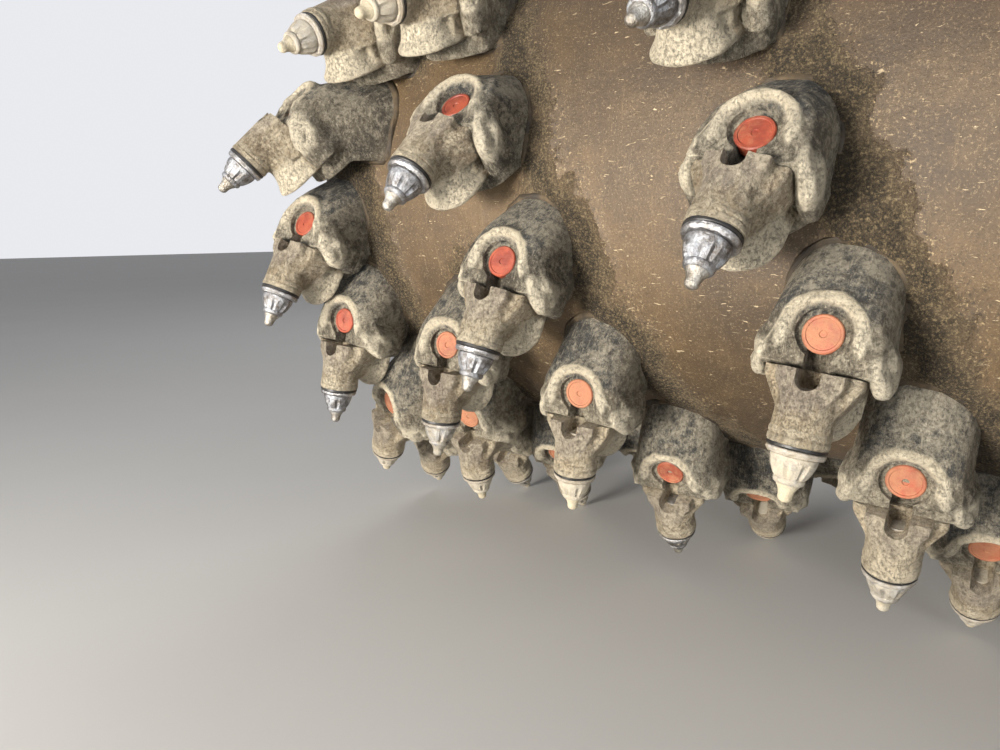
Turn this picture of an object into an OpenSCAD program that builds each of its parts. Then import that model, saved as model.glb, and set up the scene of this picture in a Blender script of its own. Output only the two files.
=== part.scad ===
// Milling drum of a cold planer: a welded tube with three helical flights of
// quick-change toolholders a side, edge tools at both ends and ejector paddles
// in the middle. It turns on a fixed reduction gear at one end and on a fixed
// journal at the other.
//
// Frame: Y is the drum axis, with the origin on the outer face of the drive
// flange and +Y towards the machine's left side. +X is the driving direction
// and +Z is up. The rear of the drum, at -X, moves down when it cuts.
//
// Tool frame, inside place_tool(): origin on the pick's tip, +X the way the
// tool moves, +Z away from the drum axis. Inside along_pick(), X runs along
// the pick towards its tip, and Z is square to it on the ejection side.

/* [Drum] */
// Outer radius of the drum tube
tube_r = 340; // [330:1:345]
// Height of the pick tips over the drum tube
tool_h = 151.5; // [149:0.5:156]
// Wall of the drum tube
tube_wall = 32; // [20:1:40]
// Milling width over the outermost tips
mill_width = 2000; // [1960:10:2200]
// How far the outermost tips stand out past each end of the tube
edge_overhang = 15; // [5:1:30]
// Gap between the drive flange's outer face and the tube's end
drive_standoff = 55; // [50:1:80]
// Gap between the tube's end and the bearing plate's outer face
bearing_standoff = 55; // [50:1:80]

/* [Flights] */
// Axial distance between two tools that follow each other along a flight
tool_step = 54; // [53.5:0.5:55]
// The same distance along a flight of the right side, whose tips run between the left's
right_step = 52.9; // [52.5:0.1:53.5]
// Turn between two tools that follow each other along a flight, in degrees
tool_turn = 22.035; // [21.6:0.005:23]
// Number of tools along each flight of one side
flight_tools = 16; // [10:1:16]
// Turn of the right side against the mirrored left side, in degrees
side_lag = 49; // [48:0.5:50]
// Turn of a pick outwards about its own radius, in degrees
skew = 7.5; // [0:0.5:10]

/* [Pick] */
// Angle between the pick and the direction in which it moves
pick_angle = 46.3; // [44:0.1:48]
// Length of the pick's head, from the tip to the wear plate's front
head_l = 39; // [37:0.5:40]
// Radius of the pick's head at its collar
head_r = 18.5; // [16:0.5:20]
// Radius of the pick's shank
shank_r = 9.2; // [8:0.1:9.5]
// Length of the carbide tip
carbide_l = 15; // [12:0.5:17]
// Radius of the carbide tip's foot
carbide_r = 9.5; // [8:0.5:11]
// Radius of the worn flat at the very tip
tip_flat_r = 2.5; // [1:0.1:4]
// Radius of the wear plate
plate_r = 23.25; // [22:0.25:25]
// Thickness of the wear plate
plate_t = 5; // [4:0.5:7]
// Chamfer round the wear plate's front
plate_chamfer = 1.5; // [0.5:0.1:2.5]

/* [Toolholder] */
// Distance from the tip back to the seam between holder and base
seam_l = 107; // [104:0.5:110]
// Radius of the holder's barrel
barrel_r = 23.5; // [21:0.5:25]
// Depth of the groove round the barrel
groove_depth = 0.8; // [0.4:0.1:1.2]
// Half of the holder's width at its shoulders
shoulder_w = 37.5; // [35:0.5:39]
// Height of the shoulders' crest over the pick's axis
shoulder_h = 18; // [15:0.5:20]
// Height of the shoulders' outer edge over the pick's axis
shoulder_edge_h = 6; // [2:0.5:10]
// Radius of the bib under the barrel, seen square to the pick
bib_r = 35.5; // [33:0.5:38]
// Depth of the bib under the pick's axis
bib_depth = 52; // [48:0.5:54]
// Width of the ejection slot
slot_w = 19.2; // [19.2:0.1:24]
// Distance from the tip back to the slot's front end
slot_l = 90; // [86:0.5:94]
// Radius of the stem that locks the holder in its base
stem_r = 15; // [12:0.5:16]
// Depth of the stem below the pick's axis line
stem_depth = 60; // [50:1:65]

/* [Base] */
// Half of the base's width
base_w = 46.5; // [44:0.5:50]
// Half of the width over the base's two horns
horn_w = 55; // [53:0.5:58]
// Distance from the tip back to the horns' front ends
horn_front = 96; // [92:0.5:98]
// Distance from the tip back to the base's front foot
base_front = 38; // [36:0.5:42]
// Distance from the tip back to the base's rear foot
base_rear = 130; // [128:0.5:136]
// Height of the rim round the plug over the pick's axis
rim_h = 16; // [12:0.5:18]
// Outer radius of the rim round the plug
rim_r = 34.5; // [33:0.5:36]
// Height of the base's top beside the rim over the pick's axis
crown_h = 8; // [5:0.5:10]
// Distance from the tip back to the lock plug's centre
plug_l = 137; // [134:0.5:140]
// Radius of the lock plug
plug_r = 16; // [14:0.5:17]
// Radius of the round pocket that the plug lies in
pocket_r = 20; // [18:0.5:22]
// Width of the slope from the rim's top down into the pocket
pocket_slope = 6; // [3:0.5:8]
// Height of the plug's face over the pick's axis
plug_h = 4; // [0:0.5:8]
// Depth of the dish in the plug's face
plug_dish = 1; // [0.5:0.1:2]

/* [Ejectors] */
// Number of ejector paddles round the middle of the drum
ejectors = 3; // [1:1:3]
// Turn of the first paddle from the top of the drum, in degrees
ejector_turn = -27.5; // [-28:0.5:-27]
// Axial length of a paddle
paddle_l = 105; // [90:5:110]
// Radius that the paddles reach
paddle_reach = 450; // [420:5:460]
// Thickness of a paddle
paddle_t = 20; // [16:1:22]
// Length of the bracket behind a paddle, round the tube
bracket_l = 42; // [38:1:46]
// Axial width of the bracket
bracket_w = 80; // [60:5:90]

/* [Bearings] */
// Radius of the fixed reduction gear's case
gear_r = 220; // [200:1:240]
// Length of the reduction gear's case
gear_l = 420; // [380:5:460]
// Radius of the drive flange
flange_r = 285; // [275:1:295]
// Radius of the drive flange's bolt circle
flange_bolts_r = 255; // [245:1:262]
// Radius of the input shaft
input_r = 30; // [24:0.5:31]
// How far the input shaft stands out of the drive flange
input_out = 60; // [40:1:80]
// Radius of the input shaft behind the shoulder that the pulley's hub stops at
input_shoulder_r = 34; // [32:0.5:38]
// Radius of the journal at the bearing end
journal_r = 75; // [65:1:85]
// Radius of the bearing plate
bearing_plate_r = 210; // [190:1:230]
// Radius of the bearing plate's bolt circle
bearing_bolts_r = 180; // [165:1:185]
// Radius of the bolt holes in both plates
bolt_hole_r = 11; // [9:0.5:13]

/* [Clearances] */
// Gap between seated pieces
seat_gap = 0.3; // [0.2:0.05:0.5]
// Radial gap of the running fits
run_gap = 0.05; // [0.03:0.01:0.09]
// Gap between turning and fixed covers
cover_gap = 6; // [5:0.5:8]

/* [Hidden] */
$fn = 48;
fixed_flange_t = 30;
neck_r = 190;
ring_t = 25;
hub_r = 135;
output_t = 60;
flange_bolt_count = 16;
bearing_bolt_count = 12;

shoulder_out = 5;
foot_sink = 60;
hub_l = 120;
plate_inset = 10;
case_gap = 10;
output_inset = 190;
shaft_in_case = 60;
// Holder, as distances back from the tip and half widths
waist_l = 68;
flare_l = 82;
flare_w = 28;
shoulder_l = 96;
bib_l = 85;
bib_top = 10;
stem_l = 62;
stem_top = 85;
groove_l = 47.5;
groove_w = 2;
// Base, as distances back from the tip and half widths
horn_rear = 142;
horn_root_w = 42;
horn_mid = 126;
rear_drop = 24;
plug_seat = 4;
plug_rim_w = 2.5;
// Gap between the tube and a paddle's inner edge
paddle_lift = 12;

tip_r = tube_r + tool_h;
foot_z = -tool_h - foot_sink;
tube_start = drive_standoff;
tube_end = tube_start + mill_width - 2 * edge_overhang;
mid_y = (tube_start + tube_end) / 2;
total_l = tube_end + bearing_standoff;
tube_bore_r = tube_r - tube_wall;
edge_y = mill_width / 2;
seat_u = -seam_l - seat_gap;
case_start = tube_start + ring_t + case_gap;

// Columns: name, angle of the outermost tool, its distance outwards from the middle, turn of its rim tools
flights = [
    ["a", 163.65, 828, 240],
    ["b", 38.67, 815.5, 120],
    ["c", -63.8, 820, 0],
];
// Rim tools. Columns: angle, distance inwards from the outermost tip line, outward tilt
rim_tools = [
    [-2.4, 7, 24.5],
    [-21.8, 35, 0],
    [-40.3, 56, 0],
    [-58.6, 22, 29],
    [-76, 0, 20],
];
// Each flight's outermost tool and two beside it, which stand in the edge segments.
// Columns: turn from the outermost one, distance outwards from it
side_tools = [
    [0, 0],
    [20.9, -51],
    [-23.9, 68],
];

// Places children, drawn in the tool frame, at a drum angle and a distance
// outwards from the middle. side is 1 for the left and -1 for the right.
module place_tool(angle, out, tilt, side) {
    turn = side > 0 ? angle : angle + side_lag;
    translate([0, mid_y + side * out, 0])
        rotate([0, turn - 90, 0])
            translate([0, 0, tip_r])
                rotate([-side * tilt, 0, 0])
                    rotate([0, 0, 180 - side * skew])
                        children();
}

module along_pick() {
    rotate([0, -pick_angle, 0])
        children();
}

module flight(row, side) {
    step = side > 0 ? tool_step : right_step;
    for (i = [1 : flight_tools - 1])
        place_tool(row[1] - i * tool_turn, row[2] - i * step, 0, side)
            children();
}

module edge_set(side) {
    for (row = flights) {
        for (tool = rim_tools)
            place_tool(tool[0] + row[3], edge_y - tool[1], tool[2], side)
                children();
        for (tool = side_tools)
            place_tool(row[1] + tool[0], row[2] + tool[1], 0, side)
                children();
    }
}

module all_tools(side) {
    for (row = flights)
        flight(row, side)
            children();
    edge_set(side)
        children();
}

// The tube's round, past both ends, which the bases' feet are cut to
module drum_core() {
    disc(tube_r + seat_gap, -input_out, total_l + input_out);
}

module disc(r, y0, y1) {
    translate([0, y0, 0])
        rotate([-90, 0, 0])
            cylinder(r = r, h = y1 - y0, $fn = 120);
}

module bolt_holes(circle_r, count, y0, y1) {
    for (i = [0 : count - 1])
        rotate([0, i * 360 / count, 0])
            translate([circle_r, y0, 0])
                rotate([-90, 0, 0])
                    cylinder(r = bolt_hole_r, h = y1 - y0);
}

// Point in the tool frame of a point given along and square to the pick
function fwd_of(u, w) = u * cos(pick_angle) - w * sin(pick_angle);
function up_of(u, w) = u * sin(pick_angle) + w * cos(pick_angle);

// Base: side outline and plan, cut by each other
module base_side() {
    crown_rear = -plug_l - rim_r - 2;
    translate([0, base_w + 20, 0])
        rotate([90, 0, 0])
            linear_extrude(height = 2 * base_w + 40)
                polygon([
                    [-base_front, foot_z],
                    [-base_front, up_of(seat_u, -bib_depth)],
                    [fwd_of(seat_u, crown_h), up_of(seat_u, crown_h)],
                    [fwd_of(crown_rear, crown_h), up_of(crown_rear, crown_h)],
                    [-base_rear + 3, up_of(crown_rear, crown_h) - rear_drop],
                    [-base_rear, foot_z],
                ]);
}

module base_plan() {
    centre = base_rear - base_w;
    translate([0, 0, foot_z])
        linear_extrude(height = -foot_z) {
            translate([-centre, 0])
                circle(r = base_w);
            translate([-centre, -base_w])
                square([centre - base_front, 2 * base_w]);
        }
}

module horns() {
    inner = shoulder_w + 3;
    along_pick()
        for (side = [-1, 1])
            translate([0, 0, -bib_depth])
                linear_extrude(height = bib_depth + 5)
                    polygon([
                        [-horn_rear, side * horn_root_w], [-horn_mid, side * horn_w],
                        [-horn_front - 8, side * horn_w], [-horn_front, side * (horn_w - 7)],
                        [-horn_front - 2, side * inner], [seat_u, side * inner],
                    ]);
}

// Rim round the plug, open towards the holder
module rim() {
    along_pick()
        translate([-plug_l, 0, 0])
            linear_extrude(height = rim_h)
                intersection() {
                    circle(r = rim_r);
                    translate([-rim_r, -rim_r])
                        square([rim_r + plug_l + seat_u, 2 * rim_r]);
                }
}

module base_block() {
    difference() {
        union() {
            intersection() {
                base_side();
                base_plan();
            }
            horns();
            rim();
        }
        along_pick()
            plug_room();
        translate([-stem_l, 0, -stem_top - stem_depth - 2])
            cylinder(r = stem_r + seat_gap, h = stem_depth + foot_sink);
    }
}

// Bore, pocket, slope and slot that leave the plug and the slot open
module plug_room() {
    translate([-plug_l, 0, 0]) {
        translate([0, 0, -plug_h - plug_seat])
            cylinder(r = plug_r + seat_gap, h = foot_sink);
        translate([0, 0, plug_h - 2])
            cylinder(r = pocket_r, h = foot_sink);
        translate([0, 0, rim_h - pocket_slope])
            cylinder(r1 = pocket_r, r2 = pocket_r + 2 * pocket_slope, h = 2 * pocket_slope);
        translate([0, -slot_w / 2, -plug_h])
            cube([2 * plug_l - 2 * seam_l, slot_w, foot_sink]);
    }
}

module bases(row, side) {
    color("tan")
        difference() {
            flight(row, side)
                base_block();
            drum_core();
        }
}

module edge_segments(side) {
    color("tan")
        difference() {
            edge_set(side)
                base_block();
            drum_core();
        }
}

// Upper holder: barrel, shoulders and bib, with a stem down into the base
module holder_body() {
    along_pick() {
        translate([-seam_l, 0, 0])
            rotate([0, 90, 0])
                cylinder(r = barrel_r, h = seam_l - head_l - plate_t - seat_gap);
        intersection() {
            translate([-bib_l, 0, -bib_depth])
                cylinder(r = bib_r, h = bib_depth - bib_top);
            translate([-seam_l, -bib_r, -bib_depth])
                cube([seam_l, 2 * bib_r, bib_depth]);
        }
        intersection() {
            translate([0, 0, -stem_r * 2])
                linear_extrude(height = stem_r * 2 + shoulder_h)
                    polygon([
                        [-seam_l, -shoulder_w], [-shoulder_l, -shoulder_w], [-flare_l, -flare_w],
                        [-waist_l, -barrel_r + 1], [-waist_l, barrel_r - 1], [-flare_l, flare_w],
                        [-shoulder_l, shoulder_w], [-seam_l, shoulder_w],
                    ]);
            shoulder_round();
        }
    }
    translate([-stem_l, 0, -stem_top - stem_depth])
        cylinder(r = stem_r, h = stem_depth);
}

// Shoulders seen along the pick, with their top sloping down to both edges
module shoulder_round() {
    crest_w = shoulder_w - 16;
    translate([-seam_l - 1, 0, 0])
        rotate([90, 0, 90])
            linear_extrude(height = seam_l)
                polygon([
                    [-shoulder_w - 1, -stem_r * 2 - 1], [shoulder_w + 1, -stem_r * 2 - 1],
                    [shoulder_w + 1, shoulder_edge_h], [crest_w, shoulder_h],
                    [-crest_w, shoulder_h], [-shoulder_w - 1, shoulder_edge_h],
                ]);
}

module holder() {
    difference() {
        holder_body();
        along_pick() {
            translate([-slot_l - 4, 0, 0])
                rotate([0, 90, 0])
                    cylinder(r = shank_r + seat_gap, h = slot_l);
            translate([-slot_l - 40, -slot_w / 2, -slot_w / 2])
                cube([40, slot_w, foot_sink]);
            translate([-groove_l, 0, 0])
                rotate([0, 90, 0])
                    difference() {
                        cylinder(r = barrel_r + 1, h = groove_w);
                        cylinder(r = barrel_r - groove_depth, h = groove_w);
                    }
        }
    }
}

module holders(row, side) {
    color("gray")
        flight(row, side)
            holder();
}

module edge_holders(side) {
    color("gray")
        edge_set(side)
            holder();
}

module lock_plugs(side) {
    plug_t = 2 * plug_h + plug_seat - seat_gap;
    color("tomato")
        all_tools(side)
            along_pick()
                translate([-plug_l, 0, plug_h - plug_t])
                    difference() {
                        cylinder(r = plug_r, h = plug_t);
                        translate([0, 0, plug_t - plug_dish])
                            cylinder(r = plug_r - plug_rim_w, h = plug_t);
                    }
}

module wear_plates(side) {
    color("silver")
        all_tools(side)
            along_pick()
                translate([-head_l - plate_t, 0, 0])
                    rotate([0, 90, 0])
                        difference() {
                            union() {
                                cylinder(r = plate_r, h = plate_t - seat_gap - plate_chamfer);
                                translate([0, 0, plate_t - seat_gap - plate_chamfer])
                                    cylinder(r1 = plate_r, r2 = plate_r - plate_chamfer, h = plate_chamfer);
                            }
                            cylinder(r = shank_r + seat_gap, h = plate_t);
                        }
}

// Profile of the pick, as radius against distance from the tip
module pick_profile() {
    polygon([
        [0, -100], [shank_r - 2, -100], [shank_r, -98], [shank_r, -head_l],
        [head_r, -head_l], [head_r, -head_l + 4], [head_r - 3, -head_l + 14],
        [carbide_r + 3, -carbide_l - 5], [carbide_r + 2, -carbide_l - 1],
        [carbide_r, -carbide_l], [0, -carbide_l],
    ]);
}

module carbide_profile() {
    foot = -carbide_l + seat_gap;
    polygon([
        [0, foot], [carbide_r, foot], [carbide_r - 1, foot + 2], [6.5, foot + 6],
        [5.5, -4], [4.5, -1.5], [tip_flat_r, 0], [0, 0],
    ]);
}

module picks(side) {
    color("lightgray")
        all_tools(side)
            along_pick()
                rotate([0, 90, 0])
                    rotate_extrude()
                        pick_profile();
}

module carbide_tips(side) {
    color("dimgray")
        all_tools(side)
            along_pick()
                rotate([0, 90, 0])
                    rotate_extrude()
                        carbide_profile();
}

module drum_tube() {
    color("peru")
        difference() {
            disc(tube_r, tube_start, tube_end);
            disc(tube_bore_r, tube_start - 1, tube_end + 1);
        }
}

module drive_end_ring() {
    color("peru")
        difference() {
            disc(tube_bore_r - seat_gap, tube_start, tube_start + ring_t);
            disc(neck_r + cover_gap, tube_start - 1, tube_start + ring_t + 1);
        }
}

module output_flange() {
    y0 = case_start + output_inset;
    color("dimgray")
        difference() {
            disc(tube_bore_r - seat_gap, y0, y0 + output_t);
            disc(gear_r + run_gap, y0 - 1, y0 + output_t + 1);
        }
}

module bearing_end_plate() {
    color("peru")
        difference() {
            disc(tube_bore_r - seat_gap, tube_end - ring_t - plate_inset, tube_end - plate_inset);
            disc(hub_r + seat_gap, tube_end - hub_l, tube_end);
        }
}

module bearing_hub() {
    color("dimgray")
        difference() {
            disc(hub_r, tube_end - hub_l, tube_end);
            disc(journal_r + run_gap, tube_end - hub_l - 1, tube_end + 1);
        }
}

// Ejector frame: X the way the paddle moves, Z away from the drum axis
module at_ejectors() {
    for (i = [0 : ejectors - 1])
        translate([0, mid_y, 0])
            rotate([0, i * 360 / ejectors + ejector_turn, 0])
                rotate([0, 0, 180])
                    children();
}

module ejector_brackets() {
    color("tan")
        difference() {
            at_ejectors()
                translate([0, bracket_w / 2, 0])
                    rotate([90, 0, 0])
                        linear_extrude(height = bracket_w)
                            polygon([
                                [-bracket_l, tube_r - 40], [0, tube_r - 20], [0, paddle_reach - 25],
                                [-22, paddle_reach - 25], [-bracket_l, tube_r + 25],
                            ]);
            drum_core();
        }
}

module ejector_paddles() {
    color("dimgray")
        at_ejectors()
            translate([seat_gap, -paddle_l / 2, tube_r + paddle_lift])
                cube([paddle_t, paddle_l, paddle_reach - tube_r - paddle_lift]);
}

module drive_flange() {
    color("darkgray")
        difference() {
            union() {
                disc(flange_r, 0, fixed_flange_t);
                disc(neck_r, fixed_flange_t, case_start);
            }
            disc(input_shoulder_r + run_gap, -1, case_start + 1);
            bolt_holes(flange_bolts_r, flange_bolt_count, -1, fixed_flange_t + 1);
        }
}

module gear_case() {
    color("darkslategray")
        difference() {
            disc(gear_r, case_start, case_start + gear_l);
            disc(input_shoulder_r + run_gap, case_start - 1, case_start + shaft_in_case);
        }
}

module input_shaft() {
    color("silver") {
        disc(input_r, -input_out, -shoulder_out);
        disc(input_shoulder_r, -shoulder_out, case_start + shaft_in_case - 1);
    }
}

module bearing_journal() {
    color("darkgray")
        difference() {
            union() {
                disc(journal_r, tube_end - hub_l + plate_inset, total_l - fixed_flange_t);
                disc(bearing_plate_r, total_l - fixed_flange_t, total_l);
            }
            bolt_holes(bearing_bolts_r, bearing_bolt_count, total_l - fixed_flange_t - 1, total_l + 1);
        }
}

drum_tube();
drive_end_ring();
output_flange();
bearing_end_plate();
bearing_hub();
bases(flights[0], 1);  // bases_left_a
bases(flights[1], 1);  // bases_left_b
bases(flights[2], 1);  // bases_left_c
bases(flights[0], -1);  // bases_right_a
bases(flights[1], -1);  // bases_right_b
bases(flights[2], -1);  // bases_right_c
holders(flights[0], 1);  // holders_left_a
holders(flights[1], 1);  // holders_left_b
holders(flights[2], 1);  // holders_left_c
holders(flights[0], -1);  // holders_right_a
holders(flights[1], -1);  // holders_right_b
holders(flights[2], -1);  // holders_right_c
edge_segments(1);  // edge_segments_left
edge_segments(-1);  // edge_segments_right
edge_holders(1);  // edge_holders_left
edge_holders(-1);  // edge_holders_right
lock_plugs(1);  // lock_plugs_left
lock_plugs(-1);  // lock_plugs_right
wear_plates(1);  // wear_plates_left
wear_plates(-1);  // wear_plates_right
picks(1);  // picks_left
picks(-1);  // picks_right
carbide_tips(1);  // carbide_tips_left
carbide_tips(-1);  // carbide_tips_right
ejector_brackets();
ejector_paddles();
drive_flange();
gear_case();
input_shaft();
bearing_journal();
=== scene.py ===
"""Milling drum of a cold planer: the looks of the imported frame, in metres."""

import math
import random

import bmesh
import bpy
from mathutils import Matrix, Vector, kdtree, noise


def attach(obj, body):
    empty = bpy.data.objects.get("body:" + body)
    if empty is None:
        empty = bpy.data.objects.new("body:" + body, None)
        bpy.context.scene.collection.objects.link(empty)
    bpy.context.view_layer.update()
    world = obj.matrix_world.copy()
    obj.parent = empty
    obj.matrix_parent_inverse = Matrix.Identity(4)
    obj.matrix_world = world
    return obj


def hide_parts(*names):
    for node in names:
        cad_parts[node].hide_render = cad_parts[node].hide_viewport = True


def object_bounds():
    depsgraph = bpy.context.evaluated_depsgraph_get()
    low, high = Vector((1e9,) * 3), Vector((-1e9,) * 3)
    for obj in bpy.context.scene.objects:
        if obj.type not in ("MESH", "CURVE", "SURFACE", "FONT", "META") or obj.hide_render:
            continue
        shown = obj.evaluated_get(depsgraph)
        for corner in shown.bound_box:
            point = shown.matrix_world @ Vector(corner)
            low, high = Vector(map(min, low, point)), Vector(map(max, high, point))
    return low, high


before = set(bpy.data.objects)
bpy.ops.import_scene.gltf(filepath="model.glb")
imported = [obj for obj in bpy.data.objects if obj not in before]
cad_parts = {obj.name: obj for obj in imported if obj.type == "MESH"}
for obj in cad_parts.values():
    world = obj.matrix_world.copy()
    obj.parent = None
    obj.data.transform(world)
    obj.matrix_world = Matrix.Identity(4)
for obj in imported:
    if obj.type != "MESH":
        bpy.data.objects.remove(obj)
cad_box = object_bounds()

# Sizes are in millimetres and angles in degrees, as in the CAD source
TO_METRES = Matrix.Scale(0.001, 4)

# The drum
TUBE_R = 340.0
TUBE_BORE_R = 308.0
TUBE_START = 55.0
TUBE_END = 2025.0
MID_Y = 1040.0

# The tools' places on it. EDGE_Y is the outermost tip line's distance from the middle
TIP_R = 491.5
TOOL_STEP = 54.0
RIGHT_STEP = 52.9
TOOL_TURN = 22.035
FLIGHT_TOOLS = 16
SIDE_LAG = 49.0
EDGE_Y = 1000.0

# A tool. U is along the pick, 0 at the tip and negative behind it
SKEW = 7.5
PICK_ANGLE = 46.3
PLATE_BACK_U = -44.3
SEAM_U = -107.0
SEAM_GAP = 0.3
PLUG_U = -137.0
BASE_ROUND_X = -83.5
BASE_HALF_W = 46.5
SLOT_FLOOR = -12.0
FLUTES = 8
FLUTE_DEPTH = 2.5

# How far the forge and the wear leave a tool from its plain form, and its triangles
BASE_LUMP = 1.9
HOLDER_LUMP = 0.9
BASE_TRIANGLES = 1570
HOLDER_TRIANGLES = 1640

# The crust on the tube: a heap's spread, how far off heaps count, its height, the clear strip at the ends
CRUST_SPREAD = 36.0
CRUST_REACH = 84.0
CRUST_HEIGHT = 8.0
CRUST_MARGIN = 25.0

# Faces round the tube and along it
SHELL_AROUND = 262
SHELL_ALONG = 226

# Weld beads round a base: their radius, the arc they follow, and their points
BEAD_R = 5.5
BEAD_ARC_R = 46.2
BEAD_POINTS = 36

# Ejectors and bolt circles
EJECTORS = 3
EJECTOR_TURN = -27.5
BOLT_HOLE_R = 11.0
DRIVE_BOLTS = 16
DRIVE_CIRCLE_R = 255.0
BEARING_BOLTS = 12
BEARING_CIRCLE_R = 180.0

# Columns: name, angle of the outermost tool, its distance from the middle, turn of its rim tools
FLIGHTS = [("a", 163.65, 828.0, 240.0), ("b", 38.67, 815.5, 120.0), ("c", -63.8, 820.0, 0.0)]
# Columns: angle, distance inwards from the outermost tip line, outward tilt
RIM_TOOLS = [(-2.4, 7, 24.5), (-21.8, 35, 0), (-40.3, 56, 0), (-58.6, 22, 29), (-76.0, 0, 20)]
# Columns: turn from the flight's outermost tool, distance outwards from it
SIDE_TOOLS = [(0, 0), (20.9, -51), (-23.9, 68)]
SIDES = [("left", 1), ("right", -1)]


def turn(axis, degrees):
    return Matrix.Rotation(math.radians(degrees), 4, axis)


def shift(x, y, z):
    return Matrix.Translation((x, y, z))


ALONG_PICK = turn("Y", -PICK_ANGLE)


def tool_lean(tilt, side):
    """The tool frame's turn on the drum, with the origin on the tip."""
    return turn("X", -side * tilt) @ turn("Z", 180 - side * SKEW)


def tool_seat(angle, out, side):
    """Where a tip stands on the drum."""
    lag = 0 if side > 0 else SIDE_LAG
    return shift(0, MID_Y + side * out, 0) @ turn("Y", angle + lag - 90) @ shift(0, 0, TIP_R)


def flight_rows(row, side):
    """A flight's tools but its outermost, which is an edge tool: (angle, distance from the middle, tilt)."""
    step = TOOL_STEP if side > 0 else RIGHT_STEP
    return [(row[1] - i * TOOL_TURN, row[2] - i * step, 0) for i in range(1, FLIGHT_TOOLS)]


def edge_rows():
    """The edge tools of the three sets, as rows of the same kind."""
    rows = []
    for _, angle, out, rim_turn in FLIGHTS:
        rows += [(a + rim_turn, EDGE_Y - inwards, tilt) for a, inwards, tilt in RIM_TOOLS]
        rows += [(angle + a, out + d, 0) for a, d in SIDE_TOOLS]
    return rows


def all_rows(side):
    """Every tool of a side."""
    return [tool for row in FLIGHTS for tool in flight_rows(row, side)] + edge_rows()


# The tools with a newly scoured pick, as (angle, distance from the middle)
BRIGHT_PICKS = {tool[:2] for tool in flight_rows(FLIGHTS[0], 1)[6:8]}
BRIGHT_PICKS |= {tool[:2] for tool in flight_rows(FLIGHTS[1], 1)[1:3]}
BRIGHT_PICKS |= {(angle, EDGE_Y - inwards) for angle, inwards, _ in RIM_TOOLS[:3]}


# Forms made with bmesh operators

def slab(bm, outline, low, high, matrix=Matrix()):
    """A prism over an outline in the XY plane."""
    face = bm.faces.new([bm.verts.new((x, y, low)) for x, y in outline])
    grown = bmesh.ops.extrude_face_region(bm, geom=[face])["geom"]
    top = [v for v in grown if isinstance(v, bmesh.types.BMVert)]
    bmesh.ops.translate(bm, verts=top, vec=(0, 0, high - low))
    verts = top + list(face.verts)
    bmesh.ops.transform(bm, matrix=matrix, verts=verts)
    bmesh.ops.recalc_face_normals(bm, faces=list({f for v in verts for f in v.link_faces}))
    return verts


def rod(bm, radius, low, high, matrix=Matrix(), sides=48, end_radius=None):
    """A round rod along Z."""
    return bmesh.ops.create_cone(
        bm, cap_ends=True, segments=sides, radius1=radius,
        radius2=radius if end_radius is None else end_radius, depth=high - low,
        matrix=matrix @ shift(0, 0, (low + high) / 2))["verts"]


def ridge(bm, path, matrix=Matrix()):
    """Round limbs from point to point. Points are (x, y, z, radius)."""
    for (*start, wide), (*end, narrow) in zip(path, path[1:]):
        start, end = Vector(start), Vector(end)
        lie = (end - start).to_track_quat("Z", "Y").to_matrix().to_4x4()
        rod(bm, wide, 0, (end - start).length, matrix @ Matrix.Translation(start) @ lie, 20, narrow)
    for x, y, z, radius in path:
        bmesh.ops.create_icosphere(bm, subdivisions=2, radius=radius, matrix=matrix @ shift(x, y, z))


def lathe(profile, sides):
    """A closed turned form along X from (distance along, radius) points."""
    bm = bmesh.new()
    verts = [bm.verts.new((along, 0, radius)) for along, radius in profile]
    edges = [bm.edges.new(pair) for pair in zip(verts, verts[1:])]
    if profile[0][1] > 0:
        edges.append(bm.edges.new((verts[-1], verts[0])))
    bmesh.ops.spin(bm, geom=verts + edges, axis=(1, 0, 0), cent=(0, 0, 0), angle=math.tau,
                   steps=sides, use_merge=True)
    bmesh.ops.remove_doubles(bm, verts=bm.verts, dist=0.001)
    bmesh.ops.recalc_face_normals(bm, faces=bm.faces)
    return bm


def as_mesh(bm, name):
    """The bmesh as a mesh. The bmesh is used up."""
    mesh = bpy.data.meshes.new(name)
    bm.to_mesh(mesh)
    bm.free()
    return mesh


def formed(mesh, steps):
    """The mesh with these modifiers applied. Steps are (type, settings)."""
    worker = bpy.data.objects.new("form", mesh)
    bpy.context.scene.collection.objects.link(worker)
    helpers = []
    for kind, settings in steps:
        modifier = worker.modifiers.new(kind.lower(), kind)
        for key, value in settings.items():
            if isinstance(value, bpy.types.Mesh):
                helper = bpy.data.objects.new("cutter", value)
                bpy.context.scene.collection.objects.link(helper)
                helpers.append(helper)
                value = helper
            setattr(modifier, key, value)
    bpy.context.view_layer.update()
    result = bpy.data.meshes.new_from_object(
        worker.evaluated_get(bpy.context.evaluated_depsgraph_get()))
    for used in [worker] + helpers:
        bpy.data.objects.remove(used)
    return result


def cutting(mesh, cutter, operation="DIFFERENCE"):
    """The mesh without the cutter, or with INTERSECT what both share."""
    return formed(mesh, [("BOOLEAN", {"operation": operation, "solver": "EXACT", "object": cutter})])


def thinned(mesh, triangles):
    """The mesh brought down to about this many triangles."""
    mesh.calc_loop_triangles()
    share = min(1.0, triangles / len(mesh.loop_triangles))
    bm = bmesh.new()
    bm.from_mesh(formed(mesh, [("DECIMATE", {"ratio": share})]))

    # A face that holds on by one edge alone is a stray
    fins = [f for f in bm.faces if sum(e.is_boundary for e in f.edges) > 1]
    bmesh.ops.delete(bm, geom=fins, context="FACES")
    return as_mesh(bm, "thinned")


def rounded(mesh, voxel, rounds):
    """All forms in the mesh run together, with soft edges and filled inner corners."""
    return formed(mesh, [("REMESH", {"mode": "VOXEL", "voxel_size": voxel}),
                         ("SMOOTH", {"factor": 0.5, "iterations": rounds})])


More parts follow.
